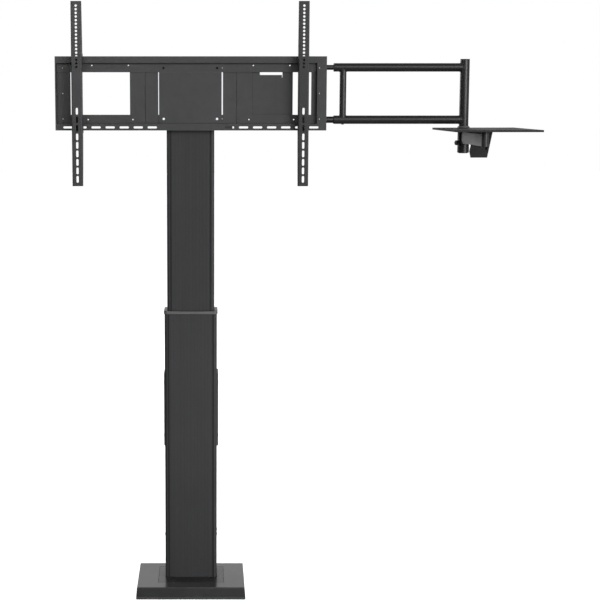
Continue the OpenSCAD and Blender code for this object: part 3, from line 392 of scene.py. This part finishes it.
def screw_head(radius, height, drive, at, facing):
    """A turned head with a crowned rim and a drive recess; facing is where it points."""
    bpy.ops.object.select_all(action="DESELECT")
    bpy.ops.mesh.primitive_cylinder_add(vertices=28, radius=radius, depth=height, location=(0, 0, height / 2))
    head = bpy.context.object
    bpy.ops.object.mode_set(mode="EDIT")
    bpy.ops.mesh.select_all(action="DESELECT")
    bpy.ops.object.mode_set(mode="OBJECT")
    for edge in head.data.edges:
        edge.select = all(head.data.vertices[i].co.z > height * 0.4 for i in edge.vertices)
    bpy.ops.object.mode_set(mode="EDIT")
    bpy.ops.mesh.bevel(offset=min(height * 0.55, radius * 0.4), segments=4)
    bpy.ops.object.mode_set(mode="OBJECT")
    cutters = []
    if drive == "hexagon":
        bpy.ops.mesh.primitive_cylinder_add(vertices=6, radius=radius * 0.5, depth=height,
                                            location=(0, 0, height))
        cutters.append(bpy.context.object)
    else:
        for turn in (0, math.pi / 2):
            bpy.ops.mesh.primitive_cube_add(size=1, location=(0, 0, height), rotation=(0, 0, turn),
                                            scale=(radius * 1.15, radius * 0.26, height))
            cutters.append(bpy.context.object)
    for cutter in cutters:
        pick(head)
        recess = head.modifiers.new("recess", "BOOLEAN")
        recess.object = cutter
        recess.operation = "DIFFERENCE"
        recess.solver = "EXACT"
        bpy.ops.object.modifier_apply(modifier="recess")
        bpy.data.objects.remove(cutter, do_unlink=True)
    return place(head, at, facing)


def joined(name, pieces):
    bpy.ops.object.select_all(action="DESELECT")
    for piece in pieces:
        piece.select_set(True)
    bpy.context.view_layer.objects.active = pieces[0]
    bpy.ops.object.join()
    whole = bpy.context.view_layer.objects.active
    whole.name = name
    smooth(whole, 35)
    return whole


eased(bracket_black, 0.0008, "wall_bracket")
low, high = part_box("wall_bracket_screws")
head_radius = 0.005
head_height = 0.0016
side_x = high[0] - head_height
middle_y = 0.040
heads = [screw_head(head_radius, head_height, "hexagon", (side * side_x, middle_y, z), (side, 0, 0))
         for side in (-1, 1) for z in (low[2] + head_radius, high[2] - head_radius)]
stand_for(joined("wall_bracket_button_heads", heads), plated("oxide_steel", (0.10, 0.10, 0.105), 0.4),
          "wall_bracket_screws")

# A moulded appliance inlet sits in the cover's back. Inside the column a grey motor
# with a die-cast gear head turns the spindle, which runs in a bearing block across
# the extrusion and lifts the inner column by a bronze nut.
eased(moulded("inlet_plastic", (0.016, 0.016, 0.017), 0.4), 0.0004, "power_inlet")
dress(powder_coat("motor_grey", (0.16, 0.16, 0.17), (0.3, 0.3, 0.3), 0.42, 0.00008), "drive_motor")


def cast_metal(name, colour):
    """Die-cast alloy: sandy skin, flow clouds, darker in its pits."""
    cast = Finish(name, Metallic=0.9)
    skin = cast.noise(420, 4, 0.7)
    cloud = cast.noise(18, 4)
    pits = cast.band(cast.noise(300, 3, 0.6), 0.6, 0.74)
    base = cast.colours(cloud, toned(colour, 0.8), toned(colour, 1.1))
    cast.colour(cast.colours(pits * 0.5, base, toned(colour, 0.4)))
    cast.roughness(0.5 + skin * 0.2 - 0.1)
    cast.bump(skin - pits * 0.4, 0.00016)
    return cast.material


dress(cast_metal("die_cast_alloy", (0.36, 0.36, 0.37)), "gear_housing", "bearing_block", "inner_plug")
dress(zinc, "block_screws")
dress(plated("ground_steel", (0.52, 0.52, 0.54), 0.28, 420.0), "spindle", "spindle_collar", "spindle_stop",
      "spindle_bearing")
dress(plated("nut_bronze", (0.60, 0.42, 0.17), 0.36, 300.0), "spindle_nut")

# The screen frame's bars are folded from one sheet. Panels, top rail and adapter plate
# lie in its recess under the same fine matt black powder coat, held by small zinc pan
# heads and two black bolts. The cover and the control box are behind it.
frame_black = powder_coat("frame_black", (0.042, 0.042, 0.0435), (0.11, 0.11, 0.11), 0.55, shine=0.22)
dress(bracket_black, "head_plate", "head_bracket")
eased(frame_black, 0.0005, "frame_bars", "left_panel", "right_panel", "middle_panel", "top_rail",
      "adapter_plate", "accessory_cover")
box_black = powder_coat("control_box_coat", (0.030, 0.030, 0.031), (0.08, 0.08, 0.08), 0.5, shine=0.22)
eased(box_black, 0.0012, "control_box", segments=3)
low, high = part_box("frame_screws")
bars_low, bars_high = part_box("frame_bars")
head_height = 0.0012
end_radius = 0.002
seam_radius = 0.0018
seam_gap = 0.0019
middle_drop = 0.0003
left_x = low[0] + end_radius
right_x = high[0] - end_radius
seam_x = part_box("adapter_plate")[1][0] + seam_gap
top_z = high[2] - end_radius
middle_z = (bars_low[2] + bars_high[2]) / 2 - middle_drop
low_z = low[2] + end_radius
seam_low_z = 1.7358
panel_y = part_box("left_panel")[0][1]
rail_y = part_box("top_rail")[0][1]
bars_y = bars_low[1]
heads = [screw_head(radius, head_height, "cross", at, (0, -1, 0)) for radius, at in (
    (end_radius, (left_x, panel_y, low_z)),
    (end_radius, (left_x, panel_y, middle_z)),
    (end_radius, (left_x, rail_y, top_z)),
    (end_radius, (right_x, bars_y, low_z)),
    (end_radius, (right_x, bars_y, middle_z)),
    (end_radius, (right_x, bars_y, top_z)),
    (seam_radius, (seam_x, panel_y, seam_low_z)),
    (seam_radius, (seam_x, rail_y, top_z)))]
stand_for(joined("frame_pan_heads", heads), plated("dull_zinc", (0.58, 0.58, 0.59), 0.35), "frame_screws")
black_oxide = powder_coat("black_oxide", (0.003, 0.003, 0.003), (0.012, 0.012, 0.012), 0.8, 0.00003,
                          shine=0.05)
dress(black_oxide, "adapter_bolts")

# Two hanging arms are channels folded from slotted sheet, coated black. The left one's lighter
# black and the right one's darker black are painted light and shade for how light falls on each,
# as they look in the photograph. Welded hooks hang them over the frame, and a fluted plastic
# screw under each one locks its clip.
hook_black = powder_coat("hook_black", (0.026, 0.026, 0.027), (0.08, 0.08, 0.08), 0.5, shine=0.22)
# Painted light and shade: the left arm is coated lighter and the right one darker for how light falls on
# them.
left_lit_black = powder_coat("left_arm_lit_black", (0.036, 0.036, 0.038), (0.13, 0.13, 0.13), 0.5, shine=0.25)
right_shaded_black = powder_coat("right_arm_shaded_black", (0.027, 0.027, 0.028), (0.11, 0.11, 0.11), 0.5, shine=0.25)
eased(left_lit_black, 0.0003, "left_arm")
eased(right_shaded_black, 0.0003, "right_arm")
eased(hook_black, 0.0005, "left_arm_hooks", "right_arm_hooks")
grip_plastic = moulded("grip_plastic", (0.010, 0.010, 0.0105), 0.42)
shank_overlap = 0.0002


def fluted_screw(name, radius, grip, shank_radius, shank, at, facing):
    """A grip with a flute at every fourth side and eased rims, and its shank; at is the grip's
    outer end."""
    sides = 48
    bpy.ops.object.select_all(action="DESELECT")
    bpy.ops.mesh.primitive_cylinder_add(vertices=sides, radius=radius, depth=grip, location=(0, 0, grip / 2))
    knob = bpy.context.object
    for vertex in knob.data.vertices:
        side = round(math.atan2(vertex.co.y, vertex.co.x) / math.tau * sides)
        vertex.select = side % 4 == 0
    for edge in knob.data.edges:
        edge.select = all(knob.data.vertices[i].select for i in edge.vertices)
    for face in knob.data.polygons:
        face.select = False
    bpy.ops.object.mode_set(mode="EDIT")
    bpy.ops.mesh.select_mode(type="VERT")
    bpy.ops.transform.resize(value=(0.9, 0.9, 1), center_override=(0, 0, 0))
    bpy.ops.object.mode_set(mode="OBJECT")
    ease = knob.modifiers.new("ease", "BEVEL")
    ease.width = radius * 0.12
    ease.segments = 3
    ease.limit_method = "ANGLE"
    ease.angle_limit = math.radians(60)
    bpy.ops.object.modifier_apply(modifier="ease")
    bpy.ops.mesh.primitive_cylinder_add(vertices=32, radius=shank_radius, depth=shank,
                                        location=(0, 0, grip + shank / 2 - shank_overlap))
    rod = bpy.context.object
    tip = rod.modifiers.new("tip", "BEVEL")
    tip.width = shank_radius * 0.2
    tip.segments = 2
    tip.limit_method = "ANGLE"
    tip.angle_limit = math.radians(60)
    bpy.ops.object.modifier_apply(modifier="tip")
    return place(joined(name, [knob, rod]), at, facing)


lock_radius = 0.006
lock_grip = 0.010
lock_shank_radius = 0.004
for side in ("left", "right"):
    low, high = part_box(side + "_lock_screw")
    grip_end = ((low[0] + high[0]) / 2, (low[1] + high[1]) / 2, low[2])
    shank = high[2] - low[2] - lock_grip + shank_overlap
    screw = fluted_screw(side + "_lock_grip", lock_radius, lock_grip, lock_shank_radius, shank, grip_end,
                         (0, 0, 1))
    stand_for(screw, grip_plastic, side + "_lock_screw")

# The side arm slides on two round rods behind the frame. Its level tubes, the brace
# between them and the post are steel tubes welded at their joints and coated satin
# black, the post is closed by plastic caps, and a clamp screw sits under the tube.
tube_black = powder_coat("tube_black", (0.013, 0.013, 0.0135), (0.05, 0.05, 0.05), 0.33, 0.00004, shine=0.3)
dress(tube_black, "upper_tube", "lower_tube", "brace_tube", "post")
dress(plated("black_rod", (0.05, 0.05, 0.052), 0.3, 300.0, (1, 0, 0)), "upper_rod", "lower_rod")
eased(hook_black, 0.0005, "rod_blocks")
dress(acetal, "tube_bushes")
dress(black_oxide, "tube_screw")
eased(moulded("cap_plastic", (0.012, 0.012, 0.0125), 0.42), 0.0011, "post_cap", segments=3)
weld_black = powder_coat("weld_black", (0.019, 0.019, 0.020), (0.07, 0.07, 0.07), 0.36, 0.00012, shine=0.3)


def weld(name, ring_radius, tube_radius, at, turn):
    """A rippled fillet bead in a ring, saddled on a tube of tube_radius. It is made upright at the
    origin, and turned as the tube that joins there runs."""
    bead_radius = 0.0016
    ripple_height = 0.0002
    ripples = 30
    bpy.ops.object.select_all(action="DESELECT")
    bpy.ops.mesh.primitive_torus_add(major_segments=96, minor_segments=10, major_radius=ring_radius,
                                     minor_radius=bead_radius)
    bead = bpy.context.object
    bead.name = name
    for vertex in bead.data.vertices:
        saddle = math.sqrt(max(tube_radius ** 2 - vertex.co.y ** 2, 0.0))
        ripple = ripple_height * math.sin(ripples * math.atan2(vertex.co.y, vertex.co.x))
        vertex.co.z += saddle + ripple
    smooth(bead, 60)
    bead.rotation_euler = turn
    bead.location = at
    bpy.ops.object.transform_apply(location=True, rotation=True, scale=True)
    bead.data.materials.append(weld_black)
    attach(bead, "side_arm")


brace_low, brace_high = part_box("brace_tube")
post_low, post_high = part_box("post")
upper_low, upper_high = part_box("upper_tube")
lower_low, lower_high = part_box("lower_tube")
brace_radius = (brace_high[0] - brace_low[0]) / 2
post_radius = (post_high[0] - post_low[0]) / 2
arm_radius = (upper_high[2] - upper_low[2]) / 2
brace_x = (brace_low[0] + brace_high[0]) / 2
post_x = (post_low[0] + post_high[0]) / 2
arm_y = (upper_low[1] + upper_high[1]) / 2
upper_z = upper_high[2] - arm_radius
lower_z = lower_high[2] - arm_radius
upwards = (0, 0, 0)
downwards = (math.pi, 0, 0)
leftwards = (0, -math.pi / 2, 0)
weld("weld_brace_low", brace_radius, arm_radius, (brace_x, arm_y, lower_z), upwards)
weld("weld_brace_high", brace_radius, arm_radius, (brace_x, arm_y, upper_z), downwards)
weld("weld_post_low", arm_radius, post_radius, (post_x, arm_y, lower_z), leftwards)
weld("weld_post_high", arm_radius, post_radius, (post_x, arm_y, upper_z), leftwards)

# A grooved ring clamped on the post carries the tray arm. Its hub turns on the post
# and is locked by a fluted knob. Gusset, link bar and boss are welded under a tray
# folded from sheet, and a turned collar closes the tray's hole round the post.
dress(tube_black, "stop_collar", "tray_hub")
dress(powder_coat("boss_black", (0.018, 0.018, 0.0185), (0.08, 0.08, 0.08), 0.4, shine=0.3), "tray_boss")
# Painted shade: the gusset is coated darker than its neighbours for the shade it lies in under the tray.
gusset_shaded_black = powder_coat("gusset_shaded_black", (0.009, 0.009, 0.0093), (0.04, 0.04, 0.04), 0.45, shine=0.16)
tray_black = powder_coat("tray_black", (0.016, 0.016, 0.0165), (0.05, 0.05, 0.05), 0.55, shine=0.12)
# Painted highlight: the link bar is coated light grey for its face lit from the left.
link_highlight_grey = powder_coat("link_highlight_grey", (0.24, 0.24, 0.243), (0.2, 0.2, 0.2), 0.45, shine=0.3)
bell_grey = powder_coat("bell_grey", (0.075, 0.075, 0.077), (0.16, 0.16, 0.16), 0.35, shine=0.35)
eased(gusset_shaded_black, 0.0004, "tray_gusset")
eased(tray_black, 0.0004, "tray_plate")
eased(link_highlight_grey, 0.0010, "link_bar", segments=3)
eased(bell_grey, 0.0006, "bell_collar")
low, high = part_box("hub_knob")
knob_turn = math.radians(33)
knob_reach = 0.0308
knob_radius = 0.0087
knob_length = 0.009
stud_radius = 0.0028
stud_length = 0.0028
outwards = Vector((-math.cos(knob_turn), -math.sin(knob_turn), 0))
knob_end = Vector((post_x, arm_y, (low[2] + high[2]) / 2)) + outwards * knob_reach
knob = fluted_screw("hub_knob_grip", knob_radius, knob_length, stud_radius, stud_length, knob_end, -outwards)
stand_for(knob, grip_plastic, "hub_knob")

# The floor is one white sweep of studio board, with a faint mottle. It glows so that
# it stays white, neither lights the object nor mirrors in it, and isn't part of it.
bpy.ops.object.select_all(action="DESELECT")
bpy.ops.mesh.primitive_plane_add(size=60, location=(0, 0, 0))
floor = bpy.context.object
floor.name = "floor"
board = Finish("studio_board", Roughness=0.7, Emission_Strength=0.8)
mottle = board.colours(board.noise(0.6, 2), (0.93, 0.93, 0.93), (0.96, 0.96, 0.96))
board.colour(mottle)
board.plug(board.shader.inputs["Emission Color"], mottle)
floor.data.materials.append(board.material)
floor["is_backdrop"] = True
floor.visible_diffuse = False
floor.visible_glossy = False

# The light is soft. The room is lighter on its right, with a pale wall low behind, and
# the camera sees it plain white. Two large softboxes stand at the viewer's side, two
# small ones light the base's front and the frame's left, and one lights the back.
world = bpy.data.worlds.new("studio")
bpy.context.scene.world = world
world.use_nodes = True
room = Nodes(world.node_tree)
direction = room.node("ShaderNodeTexCoord", out="Generated")
rightwards = room.node("ShaderNodeSeparateXYZ", None, {0: direction}, out="X")
away = room.node("ShaderNodeSeparateXYZ", None, {0: direction}, out="Y")
rise = room.node("ShaderNodeSeparateXYZ", None, {0: direction}, out="Z")
wall = room.band(away, 0.72, 0.92) * (1 - room.band(rise, 0.5, 0.62))
wall = wall * (0.58 + room.band(rise, 0.05, 0.3) * 0.2)
below = 1 - room.band(rise, -0.35, 0.0)
level = 0.08 + room.band(rightwards, -0.4, 0.6) * 0.42 + wall - below * 0.06
seen = room.node("ShaderNodeLightPath", out="Is Camera Ray")
level = level * (1 - seen) + seen
glow = room.node("ShaderNodeBackground", None, {"Color": (1, 1, 1, 1), "Strength": level})
room.node("ShaderNodeOutputWorld", None, {"Surface": glow})


def softbox(name, at, towards, size, watts, spread=180):
    """A rectangular area light at a place, pointed towards another; spread is its cone in degrees."""
    lamp = bpy.data.lights.new(name, "AREA")
    lamp.shape = "RECTANGLE"
    lamp.size = size[0]
    lamp.size_y = size[1]
    lamp.energy = watts
    lamp.spread = math.radians(spread)
    light = bpy.data.objects.new(name, lamp)
    bpy.context.scene.collection.objects.link(light)
    light.location = at
    light.rotation_euler = (Vector(towards) - Vector(at)).to_track_quat("-Z", "Y").to_euler()


softbox("key_softbox", (2.2, -7.6, 4.4), (0, 0, 1.2), (6.0, 4.6), 260)
softbox("fill_softbox", (3.4, -4.0, 2.2), (0.1, 0, 0.4), (2.4, 2.6), 165)
softbox("foot_softbox", (0.5, -2.4, 0.4), (0, 0, 0.25), (1.0, 0.6), 2.2, 80)
softbox("frame_softbox", (-0.9, -1.4, 2.5), (-0.3, 0, 1.85), (0.7, 0.5), 9.0)
softbox("back_softbox", (-4.2, 4.2, 3.4), (0, 0, 1.2), (3.4, 3.0), 260)
bpy.context.scene.view_settings.view_transform = "Standard"

low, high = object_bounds()
